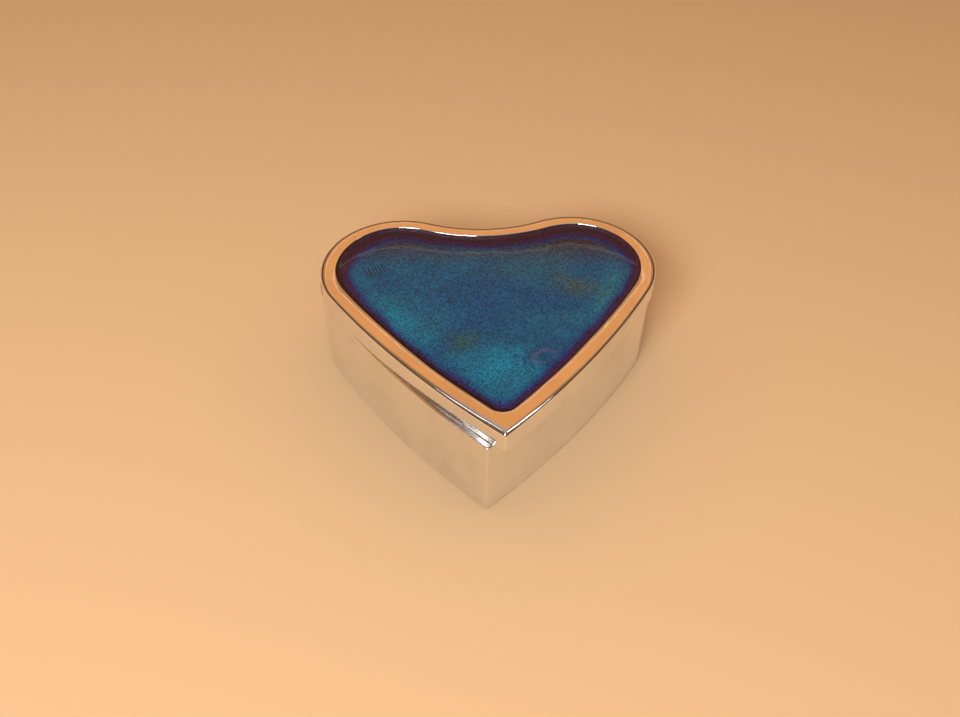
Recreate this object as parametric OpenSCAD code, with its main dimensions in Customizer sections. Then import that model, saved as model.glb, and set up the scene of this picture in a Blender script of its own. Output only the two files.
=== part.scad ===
// Heart-shaped trinket box with a lift-off lid, in millimetres.
// Origin: centre of the body's heart, on the surface that the box stands on.
// +Z is up, the heart's tip points along -Y, and its two lobes lie along +Y.

/* [Heart outline] */
// Width of the body and lid across both lobes
heart_w = 95; // [85:1:105]
// Radius of each lobe
lobe_r = 22.5; // [20:0.5:23]
// Distance from the line through the lobe centres down to the tip
tip_drop = 63.5; // [59:0.5:66]
// Radius of the slightly bowed flanks that run to the tip
flank_r = 245; // [210:5:280]
// Radius of the hollow curve between the lobes
notch_r = 42; // [38:1:50]
// Radius that softens the outer corner at the tip
tip_round = 0.8; // [0.5:0.1:2]

/* [Body] */
// Height of the body's rim above the surface
body_top = 25; // [24:0.5:30]
// Thickness of the cast wall
wall = 4; // [3:0.25:4.5]
// Thickness of the cast floor over the felt
floor_t = 3; // [2:0.5:4]

/* [Lid] */
// Height of the lid's rim above the body's rim
lid_h = 6.5; // [5.5:0.1:7.5]
// Width of the polished rim round the inlay
rim_w = 4.3; // [3.5:0.1:4.8]
// Radius of the inlay's tip
inlay_tip_r = 4.5; // [2:0.5:6]
// Depth of the recess for the inlay
recess_d = 1.8; // [1.4:0.1:2]
// Depth of the pocket under the lid, inside its lip
pocket_d = 1.4; // [1:0.1:1.8]
// How far the lip reaches down into the body
lip_drop = 4; // [3:0.5:5]
// Thickness of the lip
lip_t = 1.8; // [1.5:0.1:2.2]
// Gap all round between the lip and the body's wall
lip_gap = 3.4; // [3.4:0.1:4]
// How far the loose lid is turned on the body, in degrees
lid_turn = 3; // [0:0.1:3]
// How far the loose lid is set to the right on the body
lid_shift = 0.8; // [0:0.1:0.8]
// How far the loose lid is set towards the tip on the body
lid_forward = 1; // [0:0.1:1]

/* [Inlay] */
// Thickness of the coloured layer
colour_t = 0.5; // [0.3:0.1:0.6]
// Depth that the clear coat's face lies below the rim's crest
coat_drop = 0.2; // [0.1:0.1:0.4]

/* [Lining and felt] */
// Thickness of the felt under the base
felt_t = 1; // [0.8:0.1:1.4]
// How far the felt stands proud of the metal
felt_proud = 0.4; // [0.2:0.1:0.6]
// Inset of the felt from the body's outside
felt_inset = 3; // [2.5:0.5:6]
// Thickness of velvet on its backing
velvet_t = 0.8; // [0.6:0.1:1]
// Thickness of the floor pad's card
floor_card_t = 1.2; // [1:0.1:1.6]
// Thickness of the floor pad's foam
floor_foam_t = 2; // [1.5:0.5:3]
// Thickness of the lid pad's card
lid_card_t = 1; // [0.8:0.1:1.2]
// Gap between a pad and what surrounds it
pad_gap = 0.2; // [0.1:0.1:0.4]

/* [Hidden] */
$fn = 96;
far = 4 * heart_w;              // reaches past everything when a region is cut
floor_top = felt_t + floor_t;   // inner floor of the casting
lining_top = body_top - lip_drop - 1;
pad_top = floor_top + floor_card_t + floor_foam_t + velvet_t;
lid_top = body_top + lid_h;
recess_floor = lid_top - recess_d;
pocket_top = body_top + pocket_d;
lip_inset = wall + lip_gap;
lip_tip_r = 6;
pad_tip_r = 3;
floor_pad_inset = wall + velvet_t + pad_gap;
lid_pad_inset = lip_inset + lip_t + pad_gap;
seat_overlap = 0.5;             // how far two parts of one casting run into each other

// The outline is built from tangent arcs about the line through the lobe centres.
// An inset of i moves every arc by i along its own radius, so walls keep one thickness.
lobe_x = heart_w / 2 - lobe_r;
mid_y = (tip_drop - lobe_r) / 2;
tip_reach = sqrt(lobe_x * lobe_x + tip_drop * tip_drop);
flank_gap = flank_r - lobe_r;   // from a flank's centre to its lobe's centre
along = (tip_reach * tip_reach + flank_gap * flank_gap - flank_r * flank_r) / (2 * tip_reach);
across = sqrt(flank_gap * flank_gap - along * along);
to_tip = [-lobe_x, -tip_drop] / tip_reach;
flank_c = [lobe_x, 0] + along * to_tip + across * [to_tip[1], -to_tip[0]];
notch_c = [0, sqrt((notch_r + lobe_r) * (notch_r + lobe_r) - lobe_x * lobe_x)];

function unit(v) = v / norm(v);
function flip(p) = [-p[0], p[1]];
// Where the two flanks cross on the middle line, at an inset of i
function tip_at(i) =
    [0, flank_c[1] - sqrt((flank_r - i) * (flank_r - i) - flank_c[0] * flank_c[0])];

// A disc's slice between two directions from its centre
module pie(c, r, d1, d2) {
    intersection() {
        translate(c) circle(r);
        polygon([c, c + far * d1, c + far * unit(d1 + d2), c + far * d2]);
    }
}

// The heart, moved in by an inset, with a tip of radius tip_r
module heart(inset, tip_r) {
    lobe_c = [lobe_x, 0];
    to_flank = unit(lobe_c - flank_c);
    to_notch = unit(notch_c - lobe_c);
    corner_c = tip_at(inset + tip_r);
    to_corner = unit(corner_c - flank_c);
    translate([0, mid_y]) {
        for (side = [0, 1]) mirror([side, 0]) {
            pie(lobe_c, lobe_r - inset, to_flank, to_notch);
        }
        difference() {
            polygon([lobe_c, notch_c, flip(lobe_c)]);
            translate(notch_c) circle(notch_r + inset);
        }
        intersection() {
            translate(flank_c) circle(flank_r - inset);
            translate(flip(flank_c)) circle(flank_r - inset);
            polygon([
                lobe_c, lobe_c + far * to_flank, corner_c + far * to_corner, corner_c,
                corner_c + far * flip(to_corner), flip(lobe_c + far * to_flank), flip(lobe_c)
            ]);
        }
        pie(corner_c, tip_r, to_corner, flip(to_corner));
    }
}

module slab(inset, tip_r, z0, z1) {
    translate([0, 0, z0]) linear_extrude(z1 - z0) heart(inset, tip_r);
}

// The lid and all that it carries, where the loose lid sits on the body
module on_lid() {
    translate([lid_shift, mid_y - lid_forward, 0]) rotate([0, 0, lid_turn])
        translate([0, -mid_y, 0]) children();
}

// A velvet cover: a sheet over one face of a pad, with its edges wrapped round the pad
module cover(inset, tip_r, z0, z1, face_up) {
    inner_z0 = face_up ? z0 - seat_overlap : z0 + velvet_t;
    inner_z1 = face_up ? z1 - velvet_t : z1 + seat_overlap;
    difference() {
        slab(inset, tip_r, z0, z1);
        slab(inset + velvet_t, tip_r, inner_z0, inner_z1);
    }
}

module body_shell() {
    color("silver") difference() {
        slab(0, tip_round, felt_proud, body_top);
        slab(wall, tip_round, floor_top, body_top + 1);
        slab(felt_inset, pad_tip_r, felt_proud - 1, felt_t);
    }
}

module base_felt() {
    color("dimgray") slab(felt_inset, pad_tip_r, 0, felt_t);
}

// The lining is one strip round the whole wall, from the floor up to just under the lid's lip
module wall_velvet() {
    color("midnightblue") difference() {
        slab(wall, tip_round, floor_top, lining_top);
        slab(wall + velvet_t, tip_round, floor_top - 1, lining_top + 1);
    }
}

module floor_card() {
    color("tan") slab(floor_pad_inset + velvet_t, pad_tip_r, floor_top, floor_top + floor_card_t);
}

module floor_foam() {
    foam_z = floor_top + floor_card_t;
    color("ivory") slab(floor_pad_inset + velvet_t, pad_tip_r, foam_z, foam_z + floor_foam_t);
}

module floor_velvet() {
    color("navy") cover(floor_pad_inset, pad_tip_r, floor_top, pad_top, true);
}

module lid_shell() {
    color("silver") on_lid() {
        difference() {
            slab(0, tip_round, body_top, lid_top);
            slab(rim_w, inlay_tip_r, recess_floor, lid_top + 1);
            slab(lip_inset + lip_t, lip_tip_r, body_top - 1, pocket_top);
        }
        difference() {
            slab(lip_inset, lip_tip_r, body_top - lip_drop, body_top + seat_overlap);
            slab(lip_inset + lip_t, lip_tip_r, body_top - lip_drop - 1, pocket_top);
        }
    }
}

module inlay_colour() {
    color("teal") on_lid()
        slab(rim_w, inlay_tip_r, recess_floor, recess_floor + colour_t);
}

module inlay_clear_coat() {
    color("steelblue") on_lid()
        slab(rim_w, inlay_tip_r, recess_floor + colour_t, lid_top - coat_drop);
}

module lid_card() {
    color("tan") on_lid()
        slab(lid_pad_inset + velvet_t, lip_tip_r, pocket_top - lid_card_t, pocket_top);
}

module lid_velvet() {
    color("navy") on_lid()
        cover(lid_pad_inset, lip_tip_r, pocket_top - lid_card_t - velvet_t, pocket_top, false);
}

body_shell();
base_felt();
wall_velvet();
floor_card();
floor_foam();
floor_velvet();
lid_shell();
inlay_colour();
inlay_clear_coat();
lid_card();
lid_velvet();
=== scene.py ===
"""A heart-shaped metal trinket box with a lift-off lid, an inlaid top and a velvet lining.

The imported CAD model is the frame. Every visible skin is built here as a loft: rings that follow
the heart's outline at a given inset and height, joined into one closed surface. Lengths are
millimetres until make_mesh turns them into metres.
"""
import math

import bpy
from mathutils import Matrix, Vector, noise


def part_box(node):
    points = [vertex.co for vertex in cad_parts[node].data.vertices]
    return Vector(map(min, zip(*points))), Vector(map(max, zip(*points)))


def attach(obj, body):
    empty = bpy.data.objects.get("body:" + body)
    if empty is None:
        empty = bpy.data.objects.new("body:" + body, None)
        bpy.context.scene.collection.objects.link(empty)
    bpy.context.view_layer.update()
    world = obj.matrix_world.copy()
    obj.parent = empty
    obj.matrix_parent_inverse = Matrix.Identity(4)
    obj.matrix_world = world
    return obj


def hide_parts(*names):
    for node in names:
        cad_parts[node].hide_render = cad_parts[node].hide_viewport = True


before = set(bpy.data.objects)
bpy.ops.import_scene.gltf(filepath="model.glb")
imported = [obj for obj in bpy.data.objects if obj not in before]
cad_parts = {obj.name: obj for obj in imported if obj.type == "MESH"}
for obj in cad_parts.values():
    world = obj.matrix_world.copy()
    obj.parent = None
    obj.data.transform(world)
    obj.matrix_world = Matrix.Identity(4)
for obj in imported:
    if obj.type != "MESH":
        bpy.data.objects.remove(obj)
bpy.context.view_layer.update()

MM = 0.001

# The outline's driving sizes, as the CAD has them
LOBE_R = 22.5
TIP_DROP = 63.5
FLANK_R = 245.0
NOTCH_R = 42.0
TIP_ROUND = 0.8
WALL = 4.0
RIM_W = 4.3
INLAY_TIP_R = 4.5
LIP_TIP_R = 6.0
PAD_TIP_R = 3.0
LIP_GAP = 3.4
LIP_T = 1.8
PAD_GAP = 0.2
VELVET_T = 0.8
FELT_INSET = 3.0
LID_TURN = math.radians(3.0)
LID_SHIFT = 0.8
LID_FORWARD = 1.0


def span(cad_node):
    """The lowest and highest z of a CAD node, in millimetres."""
    low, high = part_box(cad_node)
    return low[2] / MM, high[2] / MM


BODY_LOW, BODY_TOP = span("body_shell")
FELT_LOW, FELT_TOP = span("base_felt")
FLOOR_TOP, LINING_TOP = span("wall_velvet")
PAD_LOW, PAD_TOP = span("floor_velvet")
LIP_LOW, LID_TOP = span("lid_shell")
COLOUR_LOW, COLOUR_TOP = span("inlay_colour")
COAT_TOP = span("inlay_clear_coat")[1]
LID_PAD_LOW, POCKET_TOP = span("lid_velvet")
HEART_W = (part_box("body_shell")[1][0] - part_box("body_shell")[0][0]) / MM

LOBE_X = HEART_W / 2 - LOBE_R
MID_Y = (TIP_DROP - LOBE_R) / 2


# ---------------------------------------------------------------- the outline

def flank_centre():
    """The centre of the right flank's arc: it touches the right lobe and ends at the tip."""
    lobe, tip = Vector((LOBE_X, 0)), Vector((0, -TIP_DROP))
    reach = (tip - lobe).length
    gap = FLANK_R - LOBE_R
    along = (reach ** 2 + gap ** 2 - FLANK_R ** 2) / (2 * reach)
    across = math.sqrt(gap ** 2 - along ** 2)
    ahead = (tip - lobe) / reach
    return lobe + along * ahead + across * Vector((ahead.y, -ahead.x))


FLANK_C = flank_centre()
LOBE_C = Vector((LOBE_X, 0))
NOTCH_C = Vector((0, math.sqrt((NOTCH_R + LOBE_R) ** 2 - LOBE_X ** 2)))

# Points on each stretch of half the outline
TIP_STEPS = 8
FLANK_STEPS = 60
LOBE_STEPS = 64
NOTCH_STEPS = 24


def bearing(v):
    return math.atan2(v.y, v.x)


def arc(centre, radius, start, end, steps):
    """Points and outward normals along an arc, without its last point."""
    out = []
    for k in range(steps):
        a = start + (end - start) * k / steps
        n = Vector((math.cos(a), math.sin(a)))
        out.append((centre + radius * n, n))
    return out


def outline(inset, tip_r):
    """Points and outward normals round the heart, anticlockwise from its tip, moved in by inset."""
    side_r = FLANK_R - inset - tip_r
    corner = Vector((0, FLANK_C.y - math.sqrt(side_r ** 2 - FLANK_C.x ** 2)))
    at_corner = bearing(corner - FLANK_C)
    at_lobe = bearing(LOBE_C - FLANK_C)
    at_notch = bearing(NOTCH_C - LOBE_C)
    half = arc(corner, tip_r, -math.pi / 2, at_corner, TIP_STEPS)
    half += arc(FLANK_C, FLANK_R - inset, at_corner, at_lobe, FLANK_STEPS)
    half += arc(LOBE_C, LOBE_R - inset, at_lobe, at_notch, LOBE_STEPS)
    back = at_notch - math.pi
    hollow = arc(NOTCH_C, NOTCH_R + inset, back, -math.pi / 2, NOTCH_STEPS)
    half += [(p, -n) for p, n in hollow]
    dip = (NOTCH_C - Vector((0, NOTCH_R + inset)), Vector((0, 1)))
    left = [(Vector((-p.x, p.y)), Vector((-n.x, n.y))) for p, n in half[:0:-1]]
    lift = Vector((0, MID_Y))
    return [(p + lift, n) for p, n in half + [dip] + left]


def loop_length(inset, tip_r):
    """The length round the outline."""
    ring = [p for p, n in outline(inset, tip_r)]
    return sum((b - a).length for a, b in zip(ring, ring[1:] + ring[:1]))


def loop_area(inset, tip_r):
    """The area inside the outline."""
    ring = [p for p, n in outline(inset, tip_r)]
    return sum(a.x * b.y - b.x * a.y for a, b in zip(ring, ring[1:] + ring[:1])) / 2


RING = len(outline(0, TIP_ROUND))
TURN_R = 44.5        # a circle of this radius is as long as the heart's outline
CORE = Vector((0, 4))  # every cap's rings close in on this point


def ripple(k, waves):
    """A smooth closed wave round the outline: sums of (turns, size, phase)."""
    a = 2 * math.pi * k / RING
    return sum(size * math.sin(turns * a + phase) for turns, size, phase in waves)


# ---------------------------------------------------------------- profiles

def rounded(corners, steps=5, support=0.12, most=2.0):
    """A profile of (inset, z, tip_r) with its corners rounded off.

    corners are (inset, z, radius, tip_r). Each arc has a support ring a little way outside it,
    so that smooth shading stays flat on the flats, and long flats get rings at most `most` apart.
    """
    path = [corners[0][:2] + corners[0][3:]]
    for before, here, after in zip(corners, corners[1:], corners[2:]):
        if not here[2]:
            path.append(here[:2] + here[3:])
            continue
        c = Vector(here[:2])
        to_a = Vector(before[:2]) - c
        to_b = Vector(after[:2]) - c
        half = to_a.angle(to_b) / 2
        radius = here[2]
        cut = min(radius / math.tan(half), 0.49 * to_a.length, 0.49 * to_b.length)
        radius = cut * math.tan(half)
        a, b = c + cut * to_a.normalized(), c + cut * to_b.normalized()
        middle = c + (radius / math.sin(half)) * (to_a.normalized() + to_b.normalized()).normalized()
        stops = [a + support * to_a.normalized()] if to_a.length - cut > 2 * support else []
        for k in range(steps + 1):
            t = k / steps
            chord = a.lerp(b, t) - middle
            turn = (a - middle).angle(b - middle)
            if turn > 1e-6 and chord.length > 1e-9:
                w0, w1 = math.sin((1 - t) * turn), math.sin(t * turn)
                chord = ((a - middle) * w0 + (b - middle) * w1) / math.sin(turn)
            stops.append(middle + chord)
        if to_b.length - cut > 2 * support:
            stops.append(b + support * to_b.normalized())
        path += [(p.x, p.y, here[3]) for p in stops]
    path.append(corners[-1][:2] + corners[-1][3:])
    fine = [path[0]]
    for p, q in zip(path, path[1:]):
        parts = max(1, math.ceil(math.hypot(q[0] - p[0], q[1] - p[1]) / most))
        fine += [tuple(p[j] + (q[j] - p[j]) * k / parts for j in range(3)) for k in range(1, parts + 1)]
    return fine


def no_change(place, normal, k, inset):
    return place


def lid_place():
    """Where the loose lid lies on the body, in millimetres."""
    there = Matrix.Translation((LID_SHIFT, MID_Y - LID_FORWARD, 0))
    return there @ Matrix.Rotation(LID_TURN, 4, "Z") @ Matrix.Translation((0, -MID_Y, 0))


def make_mesh(name, profile, start_cap=0, end_cap=0, shape=no_change, place=Matrix()):
    """A closed surface: a ring for each profile stop, with a cap of rings at either end.

    shape(place, normal, k, inset) moves a point. The mesh keeps two attributes for its material:
    `inset`, the distance in from the outline, and `flow`, which runs once round a circle while the
    outline is followed, with the way along the profile as its third value.
    """
    points, insets, flows, faces = [], [], [], []

    def ring(inset, z, tip_r, across, toward=0.0):
        first = len(points)
        for k, (p, n) in enumerate(outline(inset, tip_r)):
            p = p.lerp(CORE, toward)
            here = shape(Vector((p.x, p.y, z)), Vector((n.x, n.y, 0)), k, inset + 40 * toward)
            points.append((place @ here) * MM)
            insets.append(inset + toward * 20)
            a = 2 * math.pi * k / RING
            shrink = 1 - toward
            flows.append((TURN_R * math.cos(a) * shrink, TURN_R * math.sin(a) * shrink, across))
        return first

    def join(a, b):
        for k in range(RING):
            nxt = (k + 1) % RING
            faces.append((a + k, a + nxt, b + nxt, b + k))

    def cap(at, inset, z, tip_r, across, rings, outward):
        last = at
        for j in range(1, rings):
            new = ring(inset, z, tip_r, across, j / rings)
            join(*((last, new) if outward else (new, last)))
            last = new
        centre = len(points)
        here = shape(Vector((CORE.x, CORE.y, z)), Vector((0, 0, 0)), 0, inset + 40)
        points.append((place @ here) * MM)
        insets.append(inset + 20)
        flows.append((0, 0, across))
        for k in range(RING):
            nxt = (k + 1) % RING
            faces.append((last + k, last + nxt, centre) if outward else (last + nxt, last + k, centre))

    across, previous, rows = 0.0, None, []
    for inset, z, tip_r in profile:
        if previous is not None:
            across += math.hypot(inset - previous[0], z - previous[1])
        rows.append((ring(inset, z, tip_r, across), inset, z, tip_r, across))
        previous = (inset, z)
    for a, b in zip(rows, rows[1:]):
        join(a[0], b[0])
    if start_cap:
        cap(*rows[0], start_cap, False)
    if end_cap:
        cap(*rows[-1], end_cap, True)
    if not start_cap and not end_cap:
        join(rows[-1][0], rows[0][0])

    mesh = bpy.data.meshes.new(name)
    mesh.from_pydata([tuple(p) for p in points], [], faces)
    mesh.validate()
    mesh.attributes.new("inset", "FLOAT", "POINT").data.foreach_set("value", insets)
    flat = [x for f in flows for x in f]
    mesh.attributes.new("flow", "FLOAT_VECTOR", "POINT").data.foreach_set("vector", flat)
    mesh.shade_smooth()
    mesh.update()
    obj = bpy.data.objects.new(name, mesh)
    bpy.context.scene.collection.objects.link(obj)
    return obj


# ---------------------------------------------------------------- shader helpers

def add(tree, kind, settings=None, **inputs):
    """A shader node. Inputs are values or sockets to link, by name, or by number as i0, i1 and so on.

    An underscore in a name stands for a space.
    """
    n = tree.nodes.new(kind)
    for key, value in (settings or {}).items():
        setattr(n, key, value)
    for key, value in inputs.items():
        numbered = key[0] == "i" and key[1:].isdigit()
        socket = n.inputs[int(key[1:]) if numbered else key.replace("_", " ")]
        if isinstance(value, bpy.types.NodeSocket):
            tree.links.new(value, socket)
        else:
            socket.default_value = value
    return n


def rgba(r, g, b):
    return (r, g, b, 1.0)


def material(name):
    """A new material, its tree and its one shader."""
    m = bpy.data.materials.new(name)
    m.use_nodes = True
    return m, m.node_tree, m.node_tree.nodes["Principled BSDF"]


def attribute(tree, name, output):
    return add(tree, "ShaderNodeAttribute", {"attribute_name": name}).outputs[output]


def object_mm(tree):
    """Object coordinates in millimetres."""
    coords = add(tree, "ShaderNodeTexCoord").outputs["Object"]
    return add(tree, "ShaderNodeVectorMath", {"operation": "SCALE"}, i0=coords, Scale=1 / MM).outputs[0]


def stretched(tree, vector, x, y, z):
    return add(tree, "ShaderNodeVectorMath", {"operation": "MULTIPLY"}, i0=vector, i1=(x, y, z)).outputs[0]


def cloud(tree, vector, scale, detail=3.0, roughness=0.55, distortion=0.0):
    """Noise from 0 to 1."""
    return add(tree, "ShaderNodeTexNoise", Vector=vector, Scale=scale, Detail=detail,
               Roughness=roughness, Distortion=distortion).outputs["Fac"]


def span_map(tree, value, low, high, to_low=0.0, to_high=1.0):
    """value from low..high to to_low..to_high, clamped."""
    return add(tree, "ShaderNodeMapRange", Value=value, From_Min=low, From_Max=high,
               To_Min=to_low, To_Max=to_high).outputs["Result"]


def blend_colours(tree, factor, a, b, mode="MIX"):
    n = add(tree, "ShaderNodeMix", {"data_type": "RGBA", "blend_type": mode})
    for index, value in ((0, factor), (6, a), (7, b)):
        if isinstance(value, bpy.types.NodeSocket):
            tree.links.new(value, n.inputs[index])
        else:
            n.inputs[index].default_value = value
    return n.outputs[2]


def maths(tree, operation, a, b=0.0, clamp=False):
    settings = {"operation": operation, "use_clamp": clamp}
    return add(tree, "ShaderNodeMath", settings, i0=a, i1=b).outputs[0]


def ramp(tree, value, stops):
    """A colour ramp of (place, colour)."""
    n = add(tree, "ShaderNodeValToRGB", Fac=value)
    while len(n.color_ramp.elements) < len(stops):
        n.color_ramp.elements.new(0.5)
    for element, (place, colour) in zip(n.color_ramp.elements, stops):
        element.position = place
        element.color = colour
    return n.outputs["Color"]


def bumped(tree, height, distance, normal=None, strength=1.0):
    """A bump of that many millimetres."""
    n = add(tree, "ShaderNodeBump", Height=height, Distance=distance * MM, Strength=strength)
    if normal is not None:
        tree.links.new(normal, n.inputs["Normal"])
    return n.outputs["Normal"]


# ---------------------------------------------------------------- materials

def polished_metal():
    """Hand-polished cast aluminium: wheel marks along the edges, faint waves, haze and pinholes."""
    m, tree, shader = material("polished_cast_metal")
    where = object_mm(tree)
    flow = attribute(tree, "flow", "Vector")
    wheel = cloud(tree, stretched(tree, flow, 0.05, 0.05, 5.0), 1.0, 4.0, 0.6)
    hairs = cloud(tree, stretched(tree, flow, 0.25, 0.25, 26.0), 1.0, 3.0, 0.65)
    haze = cloud(tree, where, 0.07, 3.0, 0.6)
    waves = cloud(tree, where, 0.10, 1.5, 0.4)
    cells = add(tree, "ShaderNodeTexVoronoi", Vector=where, Scale=0.55, Randomness=1.0)
    lucky = add(tree, "ShaderNodeSeparateColor", Color=cells.outputs["Color"]).outputs["Red"]
    hole = maths(tree, "MULTIPLY", span_map(tree, cells.outputs["Distance"], 0.10, 0.04),
                 span_map(tree, lucky, 0.965, 0.97))
    tone = ramp(tree, haze, [(0.25, rgba(0.76, 0.75, 0.74)), (0.6, rgba(0.87, 0.868, 0.86))])
    tone = blend_colours(tree, hole, tone, rgba(0.09, 0.075, 0.06))
    shine = span_map(tree, wheel, 0.3, 0.75, 0.035, 0.105)
    shine = maths(tree, "ADD", shine, span_map(tree, haze, 0.55, 0.2, 0.0, 0.07))
    shine = maths(tree, "ADD", shine, maths(tree, "MULTIPLY", hole, 0.4))
    normal = bumped(tree, waves, 0.12)
    normal = bumped(tree, wheel, 0.0040, normal)
    normal = bumped(tree, hairs, 0.0006, normal)
    normal = bumped(tree, maths(tree, "MULTIPLY", hole, -1.0), 0.12, normal)
    tree.links.new(tone, shader.inputs["Base Color"])
    tree.links.new(shine, shader.inputs["Roughness"])
    tree.links.new(normal, shader.inputs["Normal"])
    shader.inputs["Metallic"].default_value = 1.0
    return m


def patch(tree, where, centre, size, turn, wobble=0.0, soft=0.5):
    """An oval's mask, 1 in its middle and 0 outside, its edge pushed about by noise."""
    spot = add(tree, "ShaderNodeMapping", {"vector_type": "TEXTURE"}, Vector=where,
               Location=(centre[0], centre[1], COLOUR_TOP), Rotation=(0, 0, math.radians(turn)),
               Scale=(size[0] / 2, size[1] / 2, 60)).outputs[0]
    reach = add(tree, "ShaderNodeVectorMath", {"operation": "LENGTH"}, i0=spot).outputs["Value"]
    if wobble:
        push = span_map(tree, cloud(tree, where, 0.16, 3.0), 0.2, 0.8, -wobble, wobble)
        reach = maths(tree, "ADD", reach, push)
    return span_map(tree, reach, 1.0, 1.0 - soft)


# The inlay's soft pools of colour, in the order they are laid: centre and size in millimetres,
# turn in degrees, colour, and how much of it shows at the middle
BLUE_MIDDLE = ((-2, 4), (44, 24), 10, rgba(0.000, 0.078, 0.185), 0.85)
TEAL_LEFT = ((-24, -3), (13, 32), 40, rgba(0.001, 0.185, 0.260), 0.9)
TEAL_RIGHT = ((34, 8), (16, 34), -35, rgba(0.010, 0.180, 0.240), 0.9)
TEAL_TIP = ((3, -20), (27, 17), 5, rgba(0.000, 0.220, 0.320), 0.9)
OLIVE_RIGHT = ((26, 11), (20, 13), -20, rgba(0.046, 0.098, 0.082), 0.85)
OLIVE_LEFT = ((-6, -12), (13, 10), 30, rgba(0.024, 0.100, 0.070), 0.75)
SMOKE = ((12, 18), (30, 14), 12, rgba(0.018, 0.086, 0.125), 0.7)
CLOUDS = (BLUE_MIDDLE, TEAL_LEFT, TEAL_RIGHT, TEAL_TIP, OLIVE_RIGHT, OLIVE_LEFT, SMOKE)
BACK_SHADE_FROM, BACK_SHADE_TO = 19.0, 31.0   # y where painted shade and a painted brown reflection start to darken the inlay towards the back, and where they are full


def pearl_enamel():
    """The inlay's colour: a dark border, then indigo, and inside it blue and teal with smoky patches.
    Painted shade darkens the border against the metal, and painted shade with a painted brown reflection
    darkens the back of the inlay.
    """
    m, tree, shader = material("pearl_enamel")
    where = object_mm(tree)
    inset = attribute(tree, "inset", "Fac")
    drift = span_map(tree, cloud(tree, where, 0.09, 3.0, 0.5), 0.25, 0.75, -0.6, 0.6)
    rough = span_map(tree, cloud(tree, where, 1.3, 3.0, 0.7), 0.25, 0.75, -0.6, 0.6)
    # back rises from 0 to 1 towards the back of the inlay and carries painted shade there
    back = span_map(tree, add(tree, "ShaderNodeSeparateXYZ", Vector=where).outputs["Y"],
                    BACK_SHADE_FROM, BACK_SHADE_TO)
    depth = maths(tree, "ADD", maths(tree, "SUBTRACT", inset, RIM_W), maths(tree, "ADD", drift, rough))
    # painted shade: the dark edge widens towards the back
    depth = maths(tree, "SUBTRACT", depth, maths(tree, "MULTIPLY", back, 2.4))
    left_lobe = patch(tree, where, (-43, 20), (34, 44), 0, 0.2, 0.9)
    depth = maths(tree, "SUBTRACT", depth, maths(tree, "MULTIPLY", left_lobe, 2.2))
    pools = span_map(tree, cloud(tree, where, 0.05, 2.0, 0.5, 0.5), 0.4, 0.62)
    body = blend_colours(tree, pools, rgba(0.000, 0.082, 0.175), rgba(0.002, 0.125, 0.200))
    for centre, size, turn, colour, most in CLOUDS:
        mask = maths(tree, "MULTIPLY", patch(tree, where, centre, size, turn, 0.5, 1.0), most)
        body = blend_colours(tree, mask, body, colour)
    # painted shade and painted brown reflection: the colour goes dark brown towards the back
    body = blend_colours(tree, maths(tree, "MULTIPLY", back, 0.9), body, rgba(0.048, 0.019, 0.017))
    # Indigo and purple are the enamel's own deeper colour at its dished edge; the near-black maroon right
    # against the metal is painted shade of the recess wall with a painted warm reflection.
    border = ramp(tree, span_map(tree, depth, 0.0, 6.0), [
        (0.0, rgba(0.030, 0.008, 0.020)),
        (0.14, rgba(0.052, 0.010, 0.036)),
        (0.34, rgba(0.022, 0.012, 0.074)),
        (0.55, rgba(0.001, 0.036, 0.150)),
        (1.0, rgba(0.001, 0.088, 0.200)),
    ])
    colour = blend_colours(tree, span_map(tree, depth, 2.2, 4.8), border, body)
    swirl = patch(tree, where, (14.4, -16.6), (8.2, 5.4), 22, 0.15, 0.22)
    heart_of_it = patch(tree, where, (14.9, -16.8), (6.8, 4.0), 22, 0.15, 0.3)
    ring = maths(tree, "SUBTRACT", swirl, heart_of_it, True)
    colour = blend_colours(tree, maths(tree, "MULTIPLY", ring, 0.6), colour, rgba(0.110, 0.095, 0.190))
    spot = patch(tree, where, (25.4, 15.0), (1.8, 1.2), 20, 0.2, 0.6)
    colour = blend_colours(tree, maths(tree, "MULTIPLY", spot, 0.7), colour, rgba(0.050, 0.016, 0.022))
    turned = add(tree, "ShaderNodeMapping", {"vector_type": "TEXTURE"}, Vector=where,
                 Rotation=(0, 0, math.radians(28))).outputs[0]
    strokes = add(tree, "ShaderNodeTexWave", {"bands_direction": "X"}, Vector=turned, Scale=0.32,
                  Distortion=2.2, Detail=2.0, Detail_Scale=0.8).outputs["Fac"]
    strokes = maths(tree, "MULTIPLY", span_map(tree, strokes, 0.55, 0.9),
                    patch(tree, where, (-31, 17), (10, 4.6), 22, 0.35, 0.5))
    colour = blend_colours(tree, maths(tree, "MULTIPLY", strokes, 0.95), colour, rgba(0.004, 0.008, 0.030))
    grain = add(tree, "ShaderNodeTexVoronoi", Vector=where, Scale=2.4, Randomness=1.0)
    speck = add(tree, "ShaderNodeSeparateColor", Color=grain.outputs["Color"])
    fine = cloud(tree, where, 1.9, 4.0, 0.8)
    light = maths(tree, "ADD", span_map(tree, speck.outputs["Red"], 0.0, 1.0, 0.50, 1.60),
                  span_map(tree, fine, 0.34, 0.66, -0.42, 0.68))
    light = add(tree, "ShaderNodeCombineColor", Red=light, Green=light, Blue=light).outputs[0]
    colour = blend_colours(tree, 1.0, colour, light, "MULTIPLY")
    tree.links.new(colour, shader.inputs["Base Color"])
    tree.links.new(span_map(tree, speck.outputs["Green"], 0.0, 1.0, 0.35, 0.55), shader.inputs["Roughness"])
    tree.links.new(span_map(tree, depth, 2.0, 5.0, 0.0, 0.12), shader.inputs["Metallic"])
    tree.links.new(bumped(tree, fine, 0.05), shader.inputs["Normal"])
    shader.inputs["Specular IOR Level"].default_value = 0.08
    return m


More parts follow.
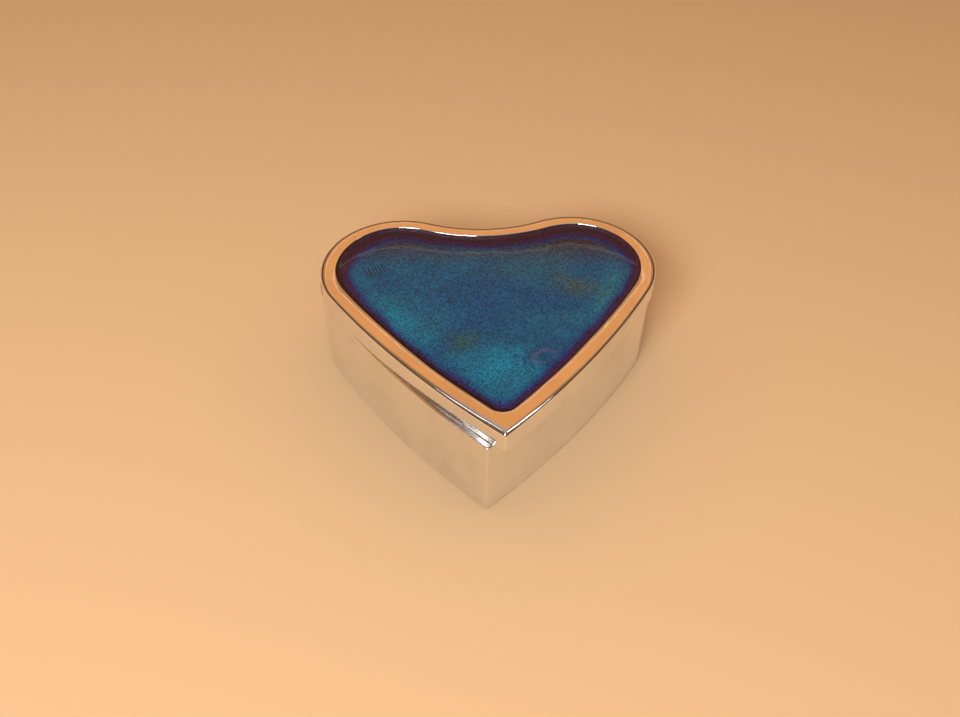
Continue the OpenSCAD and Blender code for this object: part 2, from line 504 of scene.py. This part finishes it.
def clear_resin():
    """The glassy coat, with the faint orange peel of a poured surface."""
    m, tree, shader = material("clear_resin")
    where = object_mm(tree)
    peel = cloud(tree, where, 0.12, 2.0, 0.5)
    dust = cloud(tree, where, 1.4, 3.0, 0.7)
    tree.links.new(bumped(tree, peel, 0.05), shader.inputs["Normal"])
    tree.links.new(span_map(tree, dust, 0.62, 0.78, 0.012, 0.09), shader.inputs["Roughness"])
    shader.inputs["Base Color"].default_value = rgba(0.93, 0.96, 0.99)
    shader.inputs["Transmission Weight"].default_value = 1.0
    shader.inputs["IOR"].default_value = 1.34
    return m


def velvet():
    """Short navy pile, brushed this way and that."""
    m, tree, shader = material("navy_velvet")
    where = object_mm(tree)
    brushed = cloud(tree, where, 0.14, 3.0, 0.6, 1.5)
    pile = cloud(tree, where, 5.0, 3.0, 0.75)
    tone = ramp(tree, brushed, [(0.3, rgba(0.006, 0.010, 0.040)), (0.7, rgba(0.020, 0.034, 0.115))])
    tone = blend_colours(tree, span_map(tree, pile, 0.35, 0.75, 0.0, 0.4), tone, rgba(0.040, 0.062, 0.17))
    tree.links.new(tone, shader.inputs["Base Color"])
    tree.links.new(span_map(tree, pile, 0.2, 0.8, 0.78, 0.98), shader.inputs["Roughness"])
    normal = bumped(tree, brushed, 0.5)
    tree.links.new(bumped(tree, pile, 0.16, normal), shader.inputs["Normal"])
    shader.inputs["Sheen Weight"].default_value = 0.9
    shader.inputs["Sheen Roughness"].default_value = 0.35
    shader.inputs["Sheen Tint"].default_value = rgba(0.42, 0.52, 0.85)
    return m


def fibrous(name, dark, light, sheen):
    """Pressed fibres: felt or card."""
    m, tree, shader = material(name)
    where = object_mm(tree)
    mat = cloud(tree, stretched(tree, where, 1.0, 1.6, 2.5), 1.3, 5.0, 0.75, 2.0)
    blotch = cloud(tree, where, 0.09, 2.0, 0.5)
    tone = blend_colours(tree, mat, dark, light)
    tone = blend_colours(tree, span_map(tree, blotch, 0.35, 0.7, 0.0, 0.3), tone, dark)
    tree.links.new(tone, shader.inputs["Base Color"])
    tree.links.new(span_map(tree, mat, 0.2, 0.8, 0.8, 0.97), shader.inputs["Roughness"])
    tree.links.new(bumped(tree, mat, 0.15), shader.inputs["Normal"])
    shader.inputs["Sheen Weight"].default_value = sheen
    return m


def open_foam():
    """Fine open-cell foam."""
    m, tree, shader = material("open_foam")
    where = object_mm(tree)
    cells = add(tree, "ShaderNodeTexVoronoi", Vector=where, Scale=1.6, Randomness=1.0).outputs["Distance"]
    # darker where each cell dips: painted shade in the pores
    tone = ramp(tree, cells, [(0.1, rgba(0.62, 0.58, 0.47)), (0.55, rgba(0.87, 0.84, 0.75))])
    tree.links.new(tone, shader.inputs["Base Color"])
    tree.links.new(span_map(tree, cells, 0.0, 0.7, 0.95, 0.8), shader.inputs["Roughness"])
    tree.links.new(bumped(tree, cells, 0.25), shader.inputs["Normal"])
    return m


# ---------------------------------------------------------------- pieces

def finish_piece(obj, mat, body, slot, *cad_nodes):
    obj.data.materials.append(mat)
    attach(obj, body)
    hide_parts(*cad_nodes)
    return obj


def hand_worked(depth):
    """Shaping that leaves a casting's faces very slightly uneven, always inwards."""
    def shape(p, n, k, inset):
        low = 0.5 + 0.5 * noise.noise(p * 0.055)
        return p - n * depth * low
    return shape


def body_casting(metal):
    seat = FELT_TOP
    profile = rounded([
        (FELT_INSET + 2, seat, 0, PAD_TIP_R),
        (FELT_INSET, seat, 0.1, PAD_TIP_R),
        (FELT_INSET, BODY_LOW, 0.2, PAD_TIP_R),
        (0, BODY_LOW, 0.45, TIP_ROUND),
        (0, BODY_TOP, 0.35, TIP_ROUND),
        (WALL, BODY_TOP, 0.5, TIP_ROUND),
        (WALL, FLOOR_TOP, 0.4, TIP_ROUND),
        (WALL + 2, FLOOR_TOP, 0, TIP_ROUND),
    ])
    obj = make_mesh("body_casting", profile, 3, 3, hand_worked(0.05))
    return finish_piece(obj, metal, "box", "polished_metal", "body_shell")


RIM_CREST = 2.3      # inset of the rim's highest line
RIM_FALL = 0.22      # how far the rim falls from there to the inlay
EDGE_IN = 1.9        # how far in the soft outer edge reaches
EDGE_DOWN = 1.5     # and how far down
CREST_TIP_R = 0.35   # the soft edge keeps a crisp corner at the tip
INLAY_WAVES = [(3, 0.05, 0.4), (7, 0.05, 2.1), (11, 0.035, 4.4), (17, 0.02, 1.0), (29, 0.012, 3.0)]


def inlay_edge(p, n, k, amount=1.0):
    """The recess was cleared by hand, so its edge wavers by a tenth of a millimetre or so."""
    return p - n * amount * (0.1 + ripple(k, INLAY_WAVES))


def rim_height(inset):
    return LID_TOP - RIM_FALL * ((inset - RIM_CREST) / (RIM_W - RIM_CREST)) ** 2


def lid_casting(metal):
    lip_out = WALL + LIP_GAP
    lip_in = lip_out + LIP_T
    crown = []
    for k in range(9):
        inset = RIM_W - 0.3 + (EDGE_IN - RIM_W + 0.3) * k / 8
        crown.append((inset, rim_height(inset), 0, INLAY_TIP_R + (CREST_TIP_R - INLAY_TIP_R) * k / 8))
    for k in range(1, 13):
        a = math.pi / 2 * k / 12
        inset = EDGE_IN * (1 - math.sin(a))
        tip_r = CREST_TIP_R + (TIP_ROUND - CREST_TIP_R) * k / 12
        crown.append((inset, rim_height(EDGE_IN) - EDGE_DOWN * (1 - math.cos(a)), 0, tip_r))
    profile = rounded([
        (RIM_W + 2, COLOUR_LOW, 0, INLAY_TIP_R),
        (RIM_W, COLOUR_LOW, 0.3, INLAY_TIP_R),
        (RIM_W, rim_height(RIM_W) - 0.02, 0.22, INLAY_TIP_R),
        *crown,
        (0, BODY_TOP, 0.3, TIP_ROUND),
        (lip_out, BODY_TOP, 0.5, LIP_TIP_R),
        (lip_out, LIP_LOW, 0.5, LIP_TIP_R),
        (lip_in, LIP_LOW, 0.5, LIP_TIP_R),
        (lip_in, POCKET_TOP, 0.4, LIP_TIP_R),
        (lip_in + 2, POCKET_TOP, 0, LIP_TIP_R),
    ])
    even = hand_worked(0.05)

    def shape(p, n, k, inset):
        near = max(0.0, 1 - abs(inset - RIM_W) / 1.6) if p.z > BODY_TOP + 1 else 0.0
        return inlay_edge(even(p, n, k, inset), n, k, near)

    obj = make_mesh("lid_casting", profile[::-1], 3, 3, shape, lid_place())
    return finish_piece(obj, metal, "lid", "polished_metal", "lid_shell")


FACE_INSETS = [0.12 * k for k in range(1, 16)] + [2.0 + 0.7 * k for k in range(18)]
DOME = 0.5           # how much the poured faces fall towards their edges


def poured_face(middle, edge, climb):
    """A poured layer's face, from where it meets the metal in to the middle: a meniscus, then a dome."""
    stops = [(RIM_W - 0.06, edge, INLAY_TIP_R)]
    for inward in FACE_INSETS:
        z = middle - DOME * math.exp(-inward / 5.0)
        z += (edge - middle + DOME) * math.exp(-inward / climb)
        stops.append((RIM_W + inward, z, INLAY_TIP_R + 0.15 * inward))
    return stops


def follows_edge(p, n, k, inset):
    return inlay_edge(p, n, k, max(0.0, 1 - abs(inset - RIM_W) / 4))


def inlay(colour_mat, coat_mat):
    under = RIM_W - 0.06
    rim = rim_height(RIM_W)
    seat = [(RIM_W + 3, COLOUR_LOW + 0.02, INLAY_TIP_R), (under + 0.3, COLOUR_LOW + 0.02, INLAY_TIP_R),
            (under, COLOUR_LOW + 0.2, INLAY_TIP_R)]
    colour_face = poured_face(COLOUR_TOP, rim - 0.3, 0.35)
    colour = make_mesh("enamel_colour", seat + colour_face, 2, 6, follows_edge, lid_place())
    finish_piece(colour, colour_mat, "lid", "enamel_colour", "inlay_colour")
    below = [(inset, z - 0.03, tip_r) for inset, z, tip_r in reversed(colour_face)]
    coat_face = poured_face(COAT_TOP + 0.05, rim - 0.2, 0.22)
    coat = make_mesh("enamel_coat", below + coat_face, 6, 6, follows_edge, lid_place())
    coat.visible_shadow = False
    finish_piece(coat, coat_mat, "lid", "clear_coat", "inlay_clear_coat")


def wall_lining(mat):
    profile = rounded([
        (WALL + 0.03, FLOOR_TOP + 0.05, 0, TIP_ROUND),
        (WALL + 0.03, LINING_TOP, 0.35, TIP_ROUND),
        (WALL + VELVET_T, LINING_TOP, 0.38, TIP_ROUND),
        (WALL + VELVET_T, FLOOR_TOP + 0.05, 0, TIP_ROUND),
    ])
    seam = RING // 2

    def shape(p, n, k, inset):
        dent = 0.3 * max(0.0, 1 - abs(k - seam) / 2) if inset > WALL + 0.3 else 0.0
        soft = 0.12 * noise.noise(p * 0.12) if inset > WALL + 0.3 else 0.0
        return p + n * (dent + soft)

    obj = make_mesh("wall_lining", profile, 0, 0, shape)
    round_it = loop_length(WALL + VELVET_T / 2, TIP_ROUND)
    return finish_piece(obj, mat, "box", "velvet", "wall_velvet")


def puffed(edge_z, top_z, inset0, wide, down=False):
    """A cushion's face: it rises from its wrapped edge and crowns towards the middle."""
    rise = -abs(top_z - edge_z) if down else abs(top_z - edge_z)
    stops = []
    for k in range(1, 13):
        t = k / 12
        stops.append((inset0 + wide * t, edge_z + rise * math.sin(t * math.pi / 2) ** 0.8, PAD_TIP_R))
    return stops


PLEAT_WAVES = [(23, 0.5, 0.3), (37, 0.3, 1.9), (61, 0.2, 4.0)]


def pleats(size, low_z):
    """Soft dimples and pulls along a wrapped edge, above the pad's underside."""
    def shape(p, n, k, inset):
        if abs(p.z - low_z) <= 0.8:
            return p
        near = math.exp(-((inset - WALL - 3.0) / 2.2) ** 2)
        lump = noise.noise(p * 0.11) * 0.6
        return p + Vector((0, 0, size * (0.8 * ripple(k, PLEAT_WAVES) * near + lump * 0.5 - 0.4)))
    return shape


def floor_pad(mat):
    edge = WALL + VELVET_T + PAD_GAP
    side = [(edge + inward, PAD_LOW + up, PAD_TIP_R) for inward, up in (
        (2, 0), (0.3, 0), (0, 0.4), (0, 1.4), (0, 2.5), (0.08, 3.0), (0.3, 3.35), (0.65, 3.56))]
    profile = side + puffed(PAD_LOW + 3.56, PAD_TOP - 0.02, edge + 0.65, 9)
    obj = make_mesh("floor_pad", profile, 2, 8, pleats(0.12, PAD_LOW))
    return finish_piece(obj, mat, "box", "velvet", "floor_velvet")


def lid_pad(mat):
    edge = WALL + LIP_GAP + LIP_T + PAD_GAP
    side = [(edge + inward, POCKET_TOP - down) for inward, down in (
        (2, 0), (0.2, 0), (0, 0.3), (0, 0.6), (0.2, 1.0), (0.6, 1.2))]
    face = puffed(POCKET_TOP - 1.2, LID_PAD_LOW + 0.05, edge + 0.6, 8, down=True)
    profile = [(stop[0], stop[1], LIP_TIP_R) for stop in side + face]
    obj = make_mesh("lid_pad", profile[::-1], 8, 2, no_change, lid_place())
    return finish_piece(obj, mat, "lid", "velvet", "lid_velvet")


def base_sheet(mat):
    profile = rounded([
        (FELT_INSET + 2, FELT_LOW, 0, PAD_TIP_R),
        (FELT_INSET + 0.05, FELT_LOW, 0.25, PAD_TIP_R),
        (FELT_INSET + 0.05, FELT_TOP, 0.05, PAD_TIP_R),
        (FELT_INSET + 2, FELT_TOP, 0, PAD_TIP_R),
    ])
    obj = make_mesh("base_felt_sheet", profile, 3, 3)
    cut = loop_area(FELT_INSET + 0.05, PAD_TIP_R) * MM * MM
    return finish_piece(obj, mat, "box", "felt", "base_felt")


def dress_hidden(cad_node, mat):
    """The pads' cards and foam keep their CAD shape, and show only if a pad is taken apart."""
    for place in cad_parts[cad_node].material_slots:
        place.material = mat


# ---------------------------------------------------------------- stage, light and camera

def backdrop():
    """A plain pale floor."""
    mesh = bpy.data.meshes.new("floor")
    reach = 1.6
    corners = [(-reach, -reach, 0), (reach, -reach, 0), (reach, reach, 0), (-reach, reach, 0)]
    mesh.from_pydata(corners, [], [(0, 1, 2, 3)])
    obj = bpy.data.objects.new("floor", mesh)
    bpy.context.scene.collection.objects.link(obj)
    m, tree, shader = material("pale_floor")
    shader.inputs["Base Color"].default_value = rgba(0.76, 0.51, 0.27)
    shader.inputs["Roughness"].default_value = 0.9
    mesh.materials.append(m)


def softbox(name, place, target, size, watts, colour):
    data = bpy.data.lights.new(name, "AREA")
    data.shape = "RECTANGLE"
    data.size, data.size_y = size
    data.energy = watts
    data.color = colour
    obj = bpy.data.objects.new(name, data)
    bpy.context.scene.collection.objects.link(obj)
    obj.location = place
    obj.rotation_euler = (Vector(target) - Vector(place)).to_track_quat("-Z", "Y").to_euler()


def studio():
    """Soft light: a key in front, a narrow box at either side for the tip's highlights, and a room.

    The room is warm and bright behind the box and dim in front, darkest near the floor. A thin
    bright line low behind shows as a soft line across the back of the glossy inlay.
    """
    top = (0, 0, 0.03)
    softbox("key", (-0.20, -0.62, 0.52), top, (0.40, 0.24), 7.4, (0.97, 0.97, 1.0))
    softbox("left", (-0.68, -0.175, 0.66), top, (0.055, 0.44), 0.16, (0.97, 0.98, 1.0))
    softbox("right", (0.82, -0.13, 0.56), top, (0.075, 0.50), 0.34, (0.97, 0.98, 1.0))
    world = bpy.data.worlds.new("room")
    bpy.context.scene.world = world
    world.use_nodes = True
    tree = world.node_tree
    sky = add(tree, "ShaderNodeTexCoord").outputs["Generated"]
    ways = add(tree, "ShaderNodeSeparateXYZ", Vector=sky)
    behind = ramp(tree, ways.outputs["Z"], [
        (0.0, rgba(0.06, 0.03, 0.015)),
        (0.30, rgba(0.13, 0.07, 0.03)),
        (0.40, rgba(0.42, 0.22, 0.10)),
        (0.555, rgba(0.60, 0.26, 0.09)),
        (0.580, rgba(0.64, 0.28, 0.10)),
        (0.586, rgba(1.90, 1.40, 1.00)),
        (0.592, rgba(0.86, 0.36, 0.115)),
        (0.86, rgba(0.86, 0.35, 0.11)),
        (0.93, rgba(0.44, 0.39, 0.33)),
    ])
    before = ramp(tree, ways.outputs["Z"], [
        (0.0, rgba(0.07, 0.045, 0.03)),
        (0.3, rgba(0.15, 0.095, 0.06)),
        (0.8, rgba(0.25, 0.15, 0.09)),
        (0.93, rgba(0.44, 0.39, 0.33)),
    ])
    side = span_map(tree, ways.outputs["Y"], 0.02, 0.30)
    tree.links.new(blend_colours(tree, side, before, behind), tree.nodes["Background"].inputs["Color"])
    tree.nodes["Background"].inputs["Strength"].default_value = 1.0
    scene = bpy.context.scene
    scene.view_settings.view_transform = "Standard"
    scene.cycles.caustics_reflective = False
    scene.cycles.caustics_refractive = False


CAMERA_AT = (-0.0044, -0.1799, 0.1916)
CAMERA_DOWN = math.radians(44.8)     # how far the view tips below the horizon
CAMERA_YAW = math.radians(-0.9)
CAMERA_ROLL = math.radians(1.0)


def camera():
    """The viewing angle: from the tip's side, 45 degrees down, a fifth of a metre above the table."""
    data = bpy.data.cameras.new("camera")
    data.sensor_width = 36
    data.lens = 33.75
    obj = bpy.data.objects.new("camera", data)
    bpy.context.scene.collection.objects.link(obj)
    obj.location = CAMERA_AT
    aim = Matrix.Rotation(CAMERA_YAW, 4, "Z") @ Matrix.Rotation(math.pi / 2 - CAMERA_DOWN, 4, "X")
    obj.rotation_euler = (aim @ Matrix.Rotation(CAMERA_ROLL, 4, "Z")).to_euler()
    bpy.context.scene.camera = obj


camera()
metal = polished_metal()
blue_velvet = velvet()
body_casting(metal)
lid_casting(metal)
inlay(pearl_enamel(), clear_resin())
wall_lining(blue_velvet)
floor_pad(blue_velvet)
lid_pad(blue_velvet)
base_sheet(fibrous("charcoal_felt", rgba(0.012, 0.012, 0.014), rgba(0.07, 0.07, 0.075), 0.5))
card = fibrous("grey_card", rgba(0.26, 0.21, 0.15), rgba(0.46, 0.39, 0.29), 0.0)
dress_hidden("floor_card", card)
dress_hidden("lid_card", card)
dress_hidden("floor_foam", open_foam())
backdrop()
studio()
